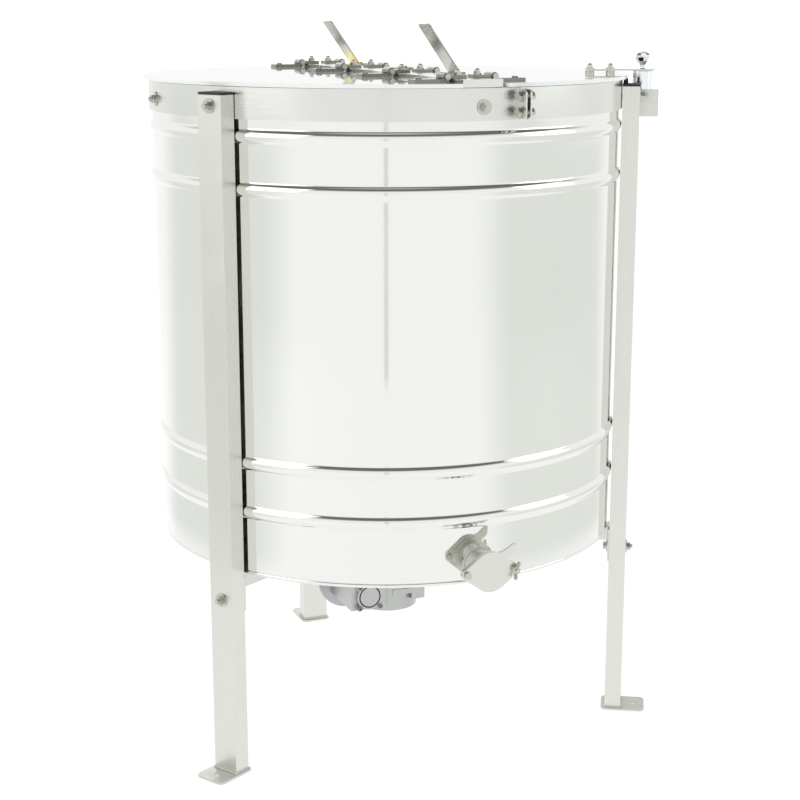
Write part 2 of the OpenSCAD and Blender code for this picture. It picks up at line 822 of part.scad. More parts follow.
module lid_right() {
    color("whitesmoke") difference() {
        lid_half(1);
        strap_bolt_places() translate([0, 0, -cut]) cylinder(r = m6[0] + bolt_play, h = lid_t + 2 * cut);
    }
}

module lid_left() {
    color("whitesmoke") lid_half(-1);
}

// The outline of a lid stop seen along the bridge, with x away from the drum's middle
function stop_side(lean, bar_l, foot) = [[-foot, 0], [0, 0], [-bar_l * sin(lean), bar_l * cos(lean)],
    [-bar_l * sin(lean) - stop_t * cos(lean), bar_l * cos(lean) - stop_t * sin(lean)],
    [-stop_t * cos(lean) - stop_t * (1 + sin(lean)) * tan(lean), stop_t], [-foot, stop_t]];

module lid_stops() {
    corner = 8;
    lean = atan2(stop_lean, stop_rise);
    bar_l = norm([stop_lean, stop_rise]);
    color("silver") for (y = [-hinge_pitch, hinge_pitch]) translate([bridge_w / 2, y, bridge_top])
        difference() {
            rotate([90, 0, 0]) translate([0, 0, -stop_w / 2]) linear_extrude(stop_w)
                polygon(stop_side(lean, bar_l, 26));
            for (side = [-1, 1]) translate([0, side * stop_w / 2, 0]) rotate([0, -lean, 0])
                translate([0, -side * corner, bar_l - corner]) difference() {
                    translate([-stop_t - cut, side > 0 ? 0 : -corner - cut, 0])
                        cube([stop_t + 2 * cut, corner + cut, corner + cut]);
                    translate([-stop_t - 2 * cut, 0, 0]) rotate([0, 90, 0])
                        cylinder(r = corner, h = stop_t + 4 * cut);
                }
        }
}

// ---- lid switch ----

module strap_bolt_places() {
    for (r = strap_bolt_rs) rotate([0, 0, switch_angle]) translate([0, -r, lid_z]) children();
}

module lid_strap() {
    l = strap_end - strap_in;
    color("silver") rotate([0, 0, switch_angle]) difference() {
        translate([0, -strap_in - l / 2, strap_z]) rounded_plate(strap_w, l, 5, strap_t);
        for (r = strap_bolt_rs) translate([0, -r, strap_z - cut])
            cylinder(r = m6[0] + bolt_play, h = strap_t + 2 * cut);
        translate([0, -switch_r, strap_z - cut]) cylinder(r = m6[0], h = strap_t + 2 * cut);
    }
}

module strap_bolts() {
    gap = strap_z - lid_top;
    color("lightgray") strap_bolt_places() {
        bolt([m6[0], m6[1], 3.5, 8], lid_t + gap + strap_t, domed = true);
        translate([0, 0, lid_t]) cylinder(r = 8, h = gap);
    }
}

module lid_knob() {
    knob_r = knob_d / 2;
    color("silver") rotate([0, 0, switch_angle]) translate([0, -switch_r, strap_z + strap_t]) {
        rotate_extrude() polygon([[0, 0], [8.5, 0], [8.5, 2], [5.5, 4], [4.8, 6.7], [5.6, 10],
            [knob_r * 0.75, 16.8], [knob_r * 0.98, 22.8], [knob_r, 25], [knob_r * 0.9, 27.5],
            [knob_r * 0.72, 30.2], [knob_r * 0.4, 32.8], [0, 33.5]]);
        translate([0, 0, -strap_t]) cylinder(r = m6[0], h = strap_t + 1);
    }
}

// Two screws through the switch box into the side of the right leg
module switch_box_screw_places() {
    for (z = [14, box_h - 14]) rotate([0, 0, leg_angles[1]])
        translate([leg_side, -leg_in - leg_d / 2 - 6, box_z + z]) rotate([0, 90, 0]) children();
}

module switch_box() {
    box_in = switch_y - post_d / 2 - 3;
    box_w = switch_x + post_d / 2 + 2 - leg_side;
    color("silver") difference() {
        rotate([0, 0, leg_angles[1]]) translate([leg_side, -box_out, box_z]) difference() {
            cube([box_w, box_out - box_in, box_h]);
            translate([box_t, box_t, -cut])
                cube([box_w - 2 * box_t, box_out - box_in - 2 * box_t, box_h - box_t + cut]);
        }
        switch_box_screw_places() cylinder(r = screw_r, h = 20, center = true);
        rotate([0, 0, switch_angle]) translate([0, -switch_r, post_z - 20])
            cylinder(r = plunger_r + 3, h = 30);
    }
}

module switch_post() {
    color("lightsteelblue") {
        rotate([0, 0, switch_angle]) translate([0, -switch_r, post_z]) difference() {
            union() {
                cylinder(r = post_d / 2, h = post_h);
                translate([0, 0, -6]) cylinder(r = plunger_r + 3, h = 7);
            }
            translate([0, 0, -8]) cylinder(r = plunger_r + running_fit, h = post_h + 20);
        }
        switch_box_screw_places() {
            translate([0, 0, -leg_t]) cylinder(r = screw_r, h = leg_t + box_t);
            translate([0, 0, box_t]) cylinder(r = screw_r + 2.5, h = 3);
        }
    }
}

module switch_plunger() {
    color("dimgray") rotate([0, 0, switch_angle])
        translate([0, -switch_r, post_z + post_h - plunger_l]) cylinder(r = plunger_r, h = plunger_l);
}

// ---- honey gate ----

// The outline that the flange and the sliding plate share: a disc whose sides run straight to two ears
module gate_outline(disc) {
    ear_r = 9;
    slope_c = (disc - ear_r) / ear_x;
    slope_s = sqrt(1 - pow(slope_c, 2));
    inset = 0.2;
    circle(r = disc);
    for (side = [-1, 1]) {
        polygon([[0, 0], [side * disc * slope_c, disc * slope_s - inset],
            [side * (ear_x + ear_r * slope_c), ear_r * slope_s - inset],
            [side * (ear_x + ear_r * slope_c), inset - ear_r * slope_s],
            [side * disc * slope_c, inset - disc * slope_s]]);
        translate([side * ear_x, 0]) circle(r = ear_r);
    }
}

module outlet_pipe() {
    pipe_in = inner_r - 10;
    color("gainsboro") outward(0, gate_z, pipe_in) tube(pipe_r, pipe_r - pipe_t, pipe_end - pipe_in);
}

module gate_flange() {
    color("silver") outward(0, gate_z, pipe_end - flange_t) difference() {
        union() {
            linear_extrude(flange_t) gate_outline(plate_r - 1);
            cylinder(r = pipe_r + 6, h = flange_t);
        }
        translate([0, 0, -cut]) cylinder(r = pipe_r, h = flange_t + 2 * cut);
        for (x = [-ear_x, ear_x]) translate([x, 0, -cut]) cylinder(r = screw_r, h = flange_t + 2 * cut);
    }
}

module gate_seal() {
    color("white") outward(0, gate_z, pipe_end) tube(pipe_r + 5, pipe_r - pipe_t, seal_t);
}

module gate_plate() {
    handle_out = plate_r + 11;
    color("gainsboro") outward(0, gate_z, plate_y) difference() {
        union() {
            linear_extrude(plate_t) gate_outline(plate_r);
            linear_extrude(plate_t) polygon([[4, plate_r - 8], [13, plate_r - 2.6], [22, plate_r - 0.5],
                [handle_out - 7, 43], [handle_out - 1.5, 43.6], [handle_out, 41], [handle_out - 1.5, 30],
                [handle_out - 4, 27.5], [plate_r - 3, 22], [plate_r - 10, 12]]);
        }
        translate([-ear_x, 0, -cut]) cylinder(r = screw_r + running_fit, h = plate_t + 2 * cut);
        translate([ear_x, 0, -cut]) cylinder(r = screw_r + 1.2, h = plate_t + 2 * cut);
        translate([ear_x - screw_r - 1.2, -20, -cut]) cube([2 * screw_r + 2.4, 20, plate_t + 2 * cut]);
    }
}

module gate_screws() {
    back = pipe_end - flange_t;
    color("lightgray") {
        outward(0, gate_z, back) for (x = [-ear_x, ear_x]) translate([x, 0, -5]) {
            cylinder(r = 5.8, h = 5, $fn = 6);
            cylinder(r = screw_r, h = plate_front - back + 5 + clearance);
        }
        outward(0, gate_z, plate_front + clearance) {
            translate([-ear_x, 0, 0]) cylinder(r = 6, h = 4);
            translate([ear_x, 0, -cut]) cylinder(r = screw_r, h = 12);
        }
    }
}

module gate_wing_nut() {
    color("silver") outward(0, gate_z, plate_front + clearance) translate([ear_x, 0, 0])
        rotate([0, 0, 75]) wing_nut(screw_r + running_fit);
}

// ---- cage ----

module cage_shaft() {
    color("lightgray") translate([0, 0, shaft_bottom]) cylinder(r = shaft_r, h = shaft_top - shaft_bottom);
}

module cage_hubs() {
    color("silver") for (z = [cage_z - spoke_t - 6, cage_top - 6])
        translate([0, 0, z]) tube(hub_r, shaft_r, spoke_t + 12);
}

module cage_spokes() {
    color("silver") for (i = [0:spokes - 1], z = [cage_z - spoke_t, cage_top])
        rotate([0, 0, i * 360 / spokes]) translate([-spoke_w / 2, hub_r, z])
            cube([spoke_w, cage_r + rod_r - hub_r, spoke_t]);
}

module rod_ring(r, z) {
    translate([0, 0, z]) rotate_extrude($fn = 144) translate([r, 0]) circle(r = rod_r, $fn = 32);
}

module lower_ring() {
    color("silver") rod_ring(cage_r, cage_z + rod_r);
}

module middle_ring() {
    color("silver") rod_ring(cage_r, (cage_z + cage_top) / 2);
}

module upper_ring() {
    color("silver") rod_ring(cage_r, cage_top - rod_r);
}

module inner_rings() {
    color("silver") for (z = [cage_z + rod_r, cage_top - rod_r]) rod_ring(inner_ring_r, z);
}

module cage_uprights() {
    color("silver") for (i = [0:spokes - 1], r = [upright_r, inner_upright_r])
        rotate([0, 0, i * 360 / spokes]) translate([0, r, cage_z]) cylinder(r = rod_r, h = cage_h);
}

module frame_rests() {
    pitch = 360 / spokes / (slots_per_bay + 1);
    inner = inner_ring_r - rod_r;
    color("silver") for (i = [0:spokes - 1], j = [1:slots_per_bay])
        rotate([0, 0, i * 360 / spokes + j * pitch]) translate([-rest_w / 2, inner, cage_z + rod_d])
            cube([rest_w, cage_r + rod_r - inner, rest_t]);
}

drum_wall();
drum_bottom();
clamp_band();
clamp_bolts();
band_bolts();
leg_left();
leg_right();
leg_back();
leg_caps();
lid_rest();
foot_plates();
leg_bolts();
underframe_arms();
arm_end_plates();
gearbox_plate();
gearbox_housing();
gearbox_flange();
worm_cover();
gearbox_screws();
motor_body();
fan_cover();
terminal_box();
cable_gland();
bearing_housing();
bottom_bearing();
shaft_seal();
bridge();
top_bearing_housing();
top_bearing();
bridge_leaves();
hinge_pins();
bridge_bolts();
lid_stops();
outlet_pipe();
gate_flange();
gate_seal();
gate_screws();
switch_box();
switch_post();
lid_right();
right_leaves();
right_leaf_bolts();
lid_strap();
strap_bolts();
lid_knob();
lid_left();
left_leaves();
left_leaf_bolts();
gate_plate();
gate_wing_nut();
switch_plunger();
cage_shaft();
cage_hubs();
cage_spokes();
lower_ring();
middle_ring();
upper_ring();
inner_rings();
cage_uprights();
frame_rests();
worm_wheel();
worm_shaft();
motor_fan();
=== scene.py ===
# A motor-driven honey extractor: a polished drum on three legs, with a clear lid in two halves, a honey
# gate at the front, a cage for the frames inside and a worm drive underneath. Sizes are in metres.

import json
import math

import bmesh
import bpy
import numpy as np
from mathutils import Matrix, Vector

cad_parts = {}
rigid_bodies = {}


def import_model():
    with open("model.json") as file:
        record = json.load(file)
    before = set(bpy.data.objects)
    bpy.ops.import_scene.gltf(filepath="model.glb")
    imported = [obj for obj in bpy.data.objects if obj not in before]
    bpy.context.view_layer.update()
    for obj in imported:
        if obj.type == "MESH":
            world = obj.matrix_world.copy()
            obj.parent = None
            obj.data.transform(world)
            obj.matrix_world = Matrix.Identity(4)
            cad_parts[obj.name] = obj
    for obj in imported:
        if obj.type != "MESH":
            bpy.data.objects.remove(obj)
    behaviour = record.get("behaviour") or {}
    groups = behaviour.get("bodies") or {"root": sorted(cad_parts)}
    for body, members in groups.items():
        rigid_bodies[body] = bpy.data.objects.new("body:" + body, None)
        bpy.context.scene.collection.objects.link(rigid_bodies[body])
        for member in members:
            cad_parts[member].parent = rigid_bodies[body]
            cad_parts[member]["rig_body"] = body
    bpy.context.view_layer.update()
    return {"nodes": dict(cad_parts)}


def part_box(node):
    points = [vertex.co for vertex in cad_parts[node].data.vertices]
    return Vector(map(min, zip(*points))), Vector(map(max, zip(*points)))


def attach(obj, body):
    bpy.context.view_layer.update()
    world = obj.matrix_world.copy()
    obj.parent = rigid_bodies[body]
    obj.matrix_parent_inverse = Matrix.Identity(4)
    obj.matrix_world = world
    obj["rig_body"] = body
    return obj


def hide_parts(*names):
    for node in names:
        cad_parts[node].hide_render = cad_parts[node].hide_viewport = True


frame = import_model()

# ---- The studio ----
# A white floor that glows from below like a light table, its glow painted dimmer at the drum's sides, under a
# white surround that is darker overhead, with three large soft lights. The camera looks down on the drum from
# the left of its honey gate, and a pale grey board that only reflections see stands beside it.

camera_place = (-1.108, -2.808, 1.2874)
camera_turn = (math.radians(90 - 13.289), 0, math.radians(-22.01))
camera_lens = 75.75
sky_white = (1.0, 1.0, 1.0, 1)
backdrop = (1.3, 1.3, 1.3, 1)
sky_dark = (0.16, 0.165, 0.15, 1)
shade_starts, shade_full = 0.36, 0.66
shade_fades, shade_ends = 0.8, 0.95
floor_half = 14.0
floor_glow = 0.86
board_size, board_at = (0.10, 1.75), (-1.25, -3.17, 0.02)
light_aim = (0, 0, 0.7)
lights = {"key_light": ((-3.5, -0.7, 2.3), 2.4, 20),
          "fill_light": ((3.3, -1.9, 2.2), 2.2, 16),
          "back_light": ((0.6, 3.4, 2.9), 2.8, 20)}

camera_data = bpy.data.cameras.new("camera")
camera_data.lens, camera_data.sensor_width, camera_data.clip_end = camera_lens, 36, 100
camera = bpy.data.objects.new("camera", camera_data)
camera.location, camera.rotation_euler = camera_place, camera_turn
bpy.context.scene.collection.objects.link(camera)
bpy.context.scene.camera = camera
bpy.context.scene.view_settings.view_transform = "Standard"


class Value:
    """A worked-out number in a finish. The signs + * / and ** on it add Math nodes."""

    def __init__(self, finish, socket):
        self.finish, self.socket = finish, socket

    def sign(self, operation, a, b):
        return self.finish.node("ShaderNodeMath", {"operation": operation}, {0: a, 1: b})

    def __add__(self, other):
        return self.sign("ADD", self, other)

    def __mul__(self, other):
        return self.sign("MULTIPLY", self, other)

    def __truediv__(self, other):
        return self.sign("DIVIDE", self, other)

    def __pow__(self, other):
        return self.sign("POWER", self, other)

    __radd__, __rmul__ = __add__, __mul__


class Finish:
    """The look of one surface: a node tree, and the shader in it whose sockets are given by name."""

    def __init__(self, name, owner=None, shader="Principled BSDF", **fixed):
        self.owner = owner or bpy.data.materials.new(name)
        self.owner.use_nodes = True
        self.tree = self.owner.node_tree
        self.shader = self.tree.nodes[shader]
        self.give({key.replace("_", " "): value for key, value in fixed.items()})

    def give(self, values, node=None):
        """Sets or links sockets of the shader, or of another node."""
        for key, value in values.items():
            socket = (node or self.shader).inputs[key]
            if isinstance(value, Value):
                self.tree.links.new(value.socket, socket)
            else:
                socket.default_value = value

    def node(self, kind, settings=(), values=(), out=0):
        """Adds any node: its settings first, then its sockets' values or links."""
        node = self.tree.nodes.new(kind)
        for key, value in dict(settings).items():
            setattr(node, key, value)
        self.give(dict(values), node)
        return Value(self, node.outputs[out])

    def place(self, stretch=(1, 1, 1)):
        """The point on the object, stretched along each axis."""
        point = self.node("ShaderNodeTexCoord", out="Object")
        return self.node("ShaderNodeMapping", {}, {"Vector": point, "Scale": stretch})

    def part_of(self, vector, axis):
        """One of the three numbers of a vector."""
        return self.node("ShaderNodeSeparateXYZ", {}, {0: vector}, out=axis)

    def noise(self, scale, stretch=(1, 1, 1), detail=3.0):
        """Cloudy noise from 0 to 1, with so many blots to the metre."""
        return self.node("ShaderNodeTexNoise", {},
                         {"Vector": self.place(stretch), "Scale": scale, "Detail": detail})

    def ease(self, value, low, high, start=0.0, end=1.0):
        """Start below low, end above high, and a smooth rise between them."""
        return self.node("ShaderNodeMapRange", {"interpolation_type": "SMOOTHSTEP"},
                         {"Value": value, "From Min": low, "From Max": high,
                          "To Min": start, "To Max": end})

    def mix(self, share, a, b):
        """Colour a where share is 0 and colour b where it is 1."""
        return self.node("ShaderNodeMix", {"data_type": "RGBA"}, {0: share, 6: a, 7: b}, out=2)

    def bump(self, height, distance):
        """A normal tilted by a height field whose full rise is distance."""
        return self.node("ShaderNodeBump", {}, {"Height": height, "Distance": distance})


sky = Finish("studio_sky", bpy.data.worlds.new("studio_sky"), "Background")
bpy.context.scene.world = sky.owner
direction = sky.node("ShaderNodeTexCoord", out="Generated")
up = sky.part_of(direction, "Z")
seen = sky.node("ShaderNodeLightPath", out="Is Camera Ray")
overhead = sky.ease(up, shade_starts, shade_full) * sky.ease(up, shade_fades, shade_ends, 1.0, 0.0)
shade = sky.mix(overhead, sky_white, sky_dark)
sky.give({"Color": sky.mix(seen, shade, backdrop), "Strength": 1.0})


def piece(name, points, faces, finish, body=None, slot=None, sharp=32):
    """Makes a mesh object from points and faces, smooth but for edges turned by more than sharp degrees."""
    mesh = bpy.data.meshes.new(name)
    mesh.from_pydata(np.asarray(points, float).reshape(-1, 3).tolist(), [], [list(f) for f in faces])
    tidy = bmesh.new()
    tidy.from_mesh(mesh)
    bmesh.ops.recalc_face_normals(tidy, faces=tidy.faces)
    tidy.to_mesh(mesh)
    tidy.free()
    mesh.shade_smooth()
    mesh.set_sharp_from_angle(angle=math.radians(sharp))
    mesh.materials.append(finish.owner)
    made = bpy.data.objects.new(name, mesh)
    bpy.context.scene.collection.objects.link(made)
    if body:
        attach(made, body)
    return made


# Painted light: the floor glows though it is no lamp, and its glow is painted dimmer and greyer at the drum's
# sides than before and behind it, where ahead squared is a large share of away, the squared distance from the
# axis. Near the legs it glows alike all round.
paper = Finish("floor_paper", Roughness=0.75, Emission_Strength=floor_glow)
x, y = (paper.part_of(paper.place(), axis) for axis in "XY")
ahead, away = x * 0.37 + y * 0.93, x * x + y * y
# Painted light: the share of full white glow, which falls off at the drum's sides away from the axis.
painted_glow_share = paper.ease(ahead * ahead / away, 0.2, 0.6) + paper.ease(away, 1.6, 2.4, 1.0, 0.0)
paper.give({"Base Color": paper.mix(paper.noise(0.6), (0.22, 0.22, 0.22, 1), (0.24, 0.24, 0.238, 1)),
            "Emission Color": paper.mix(painted_glow_share, (0.76, 0.785, 0.75, 1), (1, 1, 1, 1))})
side = np.array([-1, 1]) * floor_half
corners = [(side[0], side[0], 0), (side[1], side[0], 0), (side[1], side[1], 0), (side[0], side[1], 0)]
piece("studio_floor", corners, [[0, 1, 2, 3]], paper)

board_finish = Finish("board_card", Roughness=0.9, Base_Color=(0.80, 0.80, 0.77, 1))
half_board = np.array([math.cos(camera_turn[2]), math.sin(camera_turn[2]), 0]) * board_size[0] / 2
board_foot = np.array(board_at)
board_top = board_foot + (0, 0, board_size[1])
corners = [board_foot - half_board, board_foot + half_board, board_top + half_board, board_top - half_board]
board = piece("studio_board", corners, [[0, 1, 2, 3]], board_finish)
board.visible_camera = board.visible_diffuse = board.visible_shadow = False

for name, (place, size, power) in lights.items():
    lamp = bpy.data.lights.new(name, "AREA")
    lamp.size, lamp.energy = size, power
    light = bpy.data.objects.new(name, lamp)
    aim = Vector(light_aim) - Vector(place)
    light.matrix_world = Matrix.Translation(place) @ aim.to_track_quat("-Z", "Y").to_matrix().to_4x4()
    light.visible_camera = False
    bpy.context.scene.collection.objects.link(light)

# ---- Drum wall ----
# One sheet of bright stainless, rolled round and welded, with two pairs of beads pressed out of it to
# stiffen it and its top edge folded outwards into a hem. A hole in front takes the outlet pipe.

wall_r, sheet = 0.410, 0.002
wall_foot, hem_foot, rim = 0.362, 1.109, 1.160
hem_r = 0.4115
bead_out, bead_half = 0.0045, 0.011
bead_reach, bead_step, bead_clear, bead_blend = 0.0145, 0.001, 0.016, 0.0016
bead_heights = (0.464, 0.548, 0.998, 1.082)
outlet_z, outlet_r = 0.389, 0.025
turn_steps = 264


def steel(name, tint, rough, lines, along, depth, cloud=0.03):
    """Stainless steel: fine lines, so many to the metre, drawn out along the axis whose number in along is
    small, roughness that follows them and faint smudges, and a colour that drifts by cloud."""
    finish = Finish(name, Metallic=1.0)
    grain = finish.noise(lines, along, 2.0)
    smudge = finish.ease(finish.noise(9.0, detail=5.0), 0.48, 0.72)
    drift = finish.noise(2.2)
    light = tuple(min(c * (1 + cloud), 1) for c in tint) + (1,)
    dark = tuple(c * (1 - cloud) for c in tint) + (1,)
    finish.give({"Base Color": finish.mix(drift, dark, light),
                 "Roughness": grain * (rough * 0.6) + smudge * (rough * 0.35) + rough * 0.55,
                 "Normal": finish.bump(grain + finish.noise(5.0) * 0.6, depth)})
    return finish


def grid_faces(rows, columns, wrap_rows=False, wrap_columns=False):
    """The four-sided faces of a grid of points, each [row, column], joined end to end where it wraps."""
    r = np.arange(rows if wrap_rows else rows - 1)[:, None]
    c = np.arange(columns if wrap_columns else columns - 1)[None, :]
    r2, c2 = (r + 1) % rows, (c + 1) % columns
    corners = [r * columns + c, r * columns + c2, r2 * columns + c2, r2 * columns + c]
    return np.stack([np.broadcast_to(k, (r.size, c.size)) for k in corners], -1).reshape(-1, 4)


def turned(section):
    """A section of (radius, height) points carried round the drum's axis: a point's x is its radius times the
    sine of the angle from the gate, its y is minus its radius times the cosine, and its height stays. A
    section whose ends meet gives a closed ring."""
    a = np.linspace(0, 2 * np.pi, turn_steps, endpoint=False)
    r, z = np.asarray(section, float).T[:, :, None]
    points = np.stack([r * np.sin(a), -r * np.cos(a), np.broadcast_to(z, (r.size, turn_steps))], -1)
    return points, grid_faces(r.size, turn_steps, wrap_rows=True, wrap_columns=True)


def wall_heights():
    """Heights up the wall, 1 mm apart across each bead and far apart on the flats."""
    flats = np.linspace(wall_foot, hem_foot, 26)
    across = np.arange(-bead_reach, bead_reach + bead_step / 10, bead_step)
    beads = np.concatenate([across + h for h in bead_heights])
    clear = np.abs(flats[:, None] - np.array(bead_heights)).min(1) > bead_clear
    return np.sort(np.concatenate([flats[clear], beads]))


def beaded(z):
    """How far the beads carry the wall out at height z: an arc of a circle over each bead, whose feet are
    eased into the flat over 3 mm by averaging the arc with its neighbours."""
    arc_r = (bead_half ** 2 + bead_out ** 2) / (2 * bead_out)
    spread = np.linspace(-bead_blend, bead_blend, 9)[:, None, None]
    off = z[None, None, :] + spread - np.array(bead_heights)[None, :, None]
    arc = np.sqrt(np.clip(arc_r ** 2 - off ** 2, 0, None)) - (arc_r - bead_out)
    return np.clip(arc, 0, None).mean(0).sum(0)


z = wall_heights()
outside = np.stack([wall_r + beaded(z), z], -1)
fold = np.linspace(0, np.pi, 9)
hem_mid, hem_half = (hem_r + wall_r - sheet) / 2, (hem_r - wall_r + sheet) / 2
hem = [(hem_r, hem_foot), (hem_r, hem_foot + 0.02)] + [
    (hem_mid + hem_half * math.cos(t), rim - hem_half + hem_half * math.sin(t)) for t in fold]
inside = np.stack([wall_r - sheet + beaded(z), z], -1)[::-1]
wall_steel = steel("bright_sheet", (0.845, 0.853, 0.828), 0.075, 260.0, (0.015, 0.015, 1), 1.2e-5, 0.012)
wall_section = np.concatenate([outside, hem, inside])
drum_wall = piece("drum_wall_sheet", *turned(wall_section), wall_steel, "frame", "polished_steel")


def drilled(whole, centre, radius, length):
    """Cuts a round hole from front to back through a piece and keeps the cut mesh."""
    bpy.ops.mesh.primitive_cylinder_add(vertices=96, radius=radius, depth=length, location=centre,
                                        rotation=(math.pi / 2, 0, 0))
    drill = bpy.context.object
    cut = whole.modifiers.new("hole", "BOOLEAN")
    cut.operation, cut.solver, cut.object = "DIFFERENCE", "EXACT", drill
    depsgraph = bpy.context.evaluated_depsgraph_get()
    cut_mesh = bpy.data.meshes.new_from_object(whole.evaluated_get(depsgraph))
    whole.modifiers.clear()
    whole.data = cut_mesh
    cut_mesh.set_sharp_from_angle(angle=math.radians(32))
    bpy.data.objects.remove(drill)


hole_play, drill_length = 0.0002, 0.04
drilled(drum_wall, (0, -wall_r, outlet_z), outlet_r + hole_play, drill_length)
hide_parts("drum_wall")

# ---- Drum floor and outlet ----
# The floor is a shallow cone of the same sheet, rolled with the wall into a round lip. The outlet is a
# short stainless pipe, welded into the wall all round with a rippled bead and again to its flange.


def coat(finish, *nodes):
    """Gives parts whose shape is already right their finish."""
    for node in nodes:
        for place in frame["nodes"][node].material_slots:
            place.material = finish.owner


def beside(values):
    """Each point's neighbour before and after it, along a closed line."""
    return np.roll(values, 1, 0), np.roll(values, -1, 0)


def corded(line, up, radius, sides=10, ripple=0.12, pitch=0.0022):
    """A round cord laid along a closed line. Its radius swells and shrinks by ripple, as a sine of the
    way along it that comes round once for each pitch; ripple makes it look like weld metal, and with none
    it is plain. up is a direction across the line."""
    before, after = beside(line)
    ahead = after - before
    ahead /= np.linalg.norm(ahead, axis=1, keepdims=True)
    across = np.cross(ahead, np.broadcast_to(up, line.shape))
    across /= np.linalg.norm(across, axis=1, keepdims=True)
    rise = np.cross(across, ahead)
    s = np.cumsum(np.linalg.norm(line - before, axis=1))
    r = radius * (1 + ripple * np.sin(2 * np.pi * s / pitch))
    t = np.linspace(0, 2 * np.pi, sides, endpoint=False)
    round_it = np.cos(t)[None, :, None] * across[:, None] + np.sin(t)[None, :, None] * rise[:, None]
    return line[:, None] + r[:, None, None] * round_it, grid_faces(len(line), sides, True, True)


def weld_metal(name):
    """Weld metal: greyer and duller than the sheet, with straw and blue heat colours in patches."""
    finish = Finish(name, Metallic=1.0)
    heat = finish.noise(60.0, detail=2.0)
    warm = finish.mix(finish.ease(heat, 0.45, 0.7), (0.66, 0.655, 0.63, 1), (0.62, 0.575, 0.49, 1))
    finish.give({"Base Color": finish.mix(finish.ease(heat, 0.66, 0.8), warm, (0.50, 0.52, 0.56, 1)),
                 "Roughness": 0.30 + finish.noise(900.0) * 0.2,
                 "Normal": finish.bump(finish.noise(1400.0), 8e-5)})
    return finish


flange_back, outlet_weld_r, flange_weld_r = -0.4519, 0.0021, 0.0014
coat(wall_steel, "drum_bottom")
pipe_steel = steel("outlet_pipe_steel", (0.60, 0.60, 0.56), 0.22, 700.0, (1, 0.02, 1), 2e-5)
coat(pipe_steel, "outlet_pipe")
weld_steel = weld_metal("weld_metal")
t = np.linspace(0, 2 * np.pi, 520, endpoint=False)
across, height = outlet_r * np.cos(t), outlet_z + outlet_r * np.sin(t)
mouth = np.stack([across, -np.sqrt(wall_r ** 2 - across ** 2), height], -1)
piece("outlet_weld", *corded(mouth, (0, -1, 0), outlet_weld_r), weld_steel, "frame", "polished_steel")
collar = np.stack([across, np.full(t.size, flange_back), height], -1)
piece("flange_weld", *corded(collar, (0, -1, 0), flange_weld_r), weld_steel, "frame", "satin_steel")

# ---- Honey gate ----
# A brushed flange with a white silicone ring in it, and a thick plate that swings on a screw across the
# flange's face and is clamped by a wing nut on a stud.


def dressed(node, finish, edge, sharp=32):
    """A part with its edges eased over edge metres: a copy of its mesh with doubles merged and flat faces
    joined, under a bevel."""
    part = frame["nodes"][node]
    mesh = bpy.data.meshes.new(node + "_dressed")
    work = bmesh.new()
    work.from_mesh(part.data)
    bmesh.ops.remove_doubles(work, verts=work.verts, dist=2e-6)
    bmesh.ops.dissolve_limit(work, angle_limit=math.radians(0.4), verts=work.verts, edges=work.edges)
    work.to_mesh(mesh)
    work.free()
    for name in [a.name for a in mesh.attributes if a.name in ("custom_normal", "sharp_face")]:
        mesh.attributes.remove(mesh.attributes[name])
    mesh.shade_smooth()
    mesh.set_sharp_from_angle(angle=math.radians(sharp))
    mesh.materials.clear()
    mesh.materials.append(finish.owner)
    made = bpy.data.objects.new(node + "_finished", mesh)
    bpy.context.scene.collection.objects.link(made)
    bevel = made.modifiers.new("eased_edges", "BEVEL")
    bevel.width, bevel.segments, bevel.limit_method = edge, 2, "ANGLE"
    bevel.angle_limit, bevel.harden_normals = math.radians(40), True
    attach(made, part["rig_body"])
    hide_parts(node)
    return made


plate_steel = steel("gate_plate_steel", (0.70, 0.70, 0.66), 0.26, 420.0, (1, 1, 0.03), 3e-5)
dressed("gate_plate", plate_steel, 0.0009)
dressed("gate_flange", plate_steel, 0.0005)
silicone = Finish("white_silicone", Base_Color=(0.86, 0.86, 0.82, 1), Subsurface_Weight=0.1)
silicone.give({"Roughness": 0.45 + silicone.noise(80.0) * 0.15,
               "Normal": silicone.bump(silicone.noise(500.0), 4e-5)})
coat(silicone, "gate_seal")
bolt_steel = steel("bolt_steel", (0.56, 0.555, 0.51), 0.24, 900.0, (1, 1, 1), 2e-5, 0.06)
for node, edge in (("gate_wing_nut", 0.0007), ("gate_screws", 0.0003)):
    dressed(node, bolt_steel, edge)

# ---- Clamp band ----
# A brushed stainless band drawn up round the hem by two bolts through its lugs, right of the gate.

band_steel = steel("band_steel", (0.735, 0.74, 0.71), 0.26, 380.0, (0.02, 0.02, 1), 3e-5, 0.03)
dressed("clamp_band", band_steel, 0.0005, 25)
coat(bolt_steel, "clamp_bolts", "band_bolts")

# ---- Legs ----
# Three satin box tubes, bolted through the drum's rim at the top and to the underframe at the foot of
# the drum, with plastic caps, a rubber block for the lid on the right one, and welded foot plates.

leg_out, leg_in, leg_half = 0.445, 0.415, 0.025
leg_angles = {"left": -60, "right": 60, "back": 180}
foot_top, foot_weld_r = 0.004, 0.0022
leg_steel = steel("leg_tube_steel", (0.73, 0.727, 0.685), 0.34, 620.0, (1, 1, 0.012), 5e-5, 0.05)
for side_name in leg_angles:
    dressed("leg_" + side_name, leg_steel, 0.0014)
foot_steel = steel("foot_plate_steel", (0.64, 0.635, 0.605), 0.38, 160.0, (1, 1, 1), 4e-5, 0.06)
dressed("foot_plates", foot_steel, 0.0006)
coat(bolt_steel, "leg_bolts")


def around_axis(points, degrees):
    """Points at the gate's side turned about the drum's axis, anticlockwise from above."""
    a = math.radians(degrees)
    turn = np.array([[math.cos(a), -math.sin(a), 0], [math.sin(a), math.cos(a), 0], [0, 0, 1]])
    return points @ turn.T


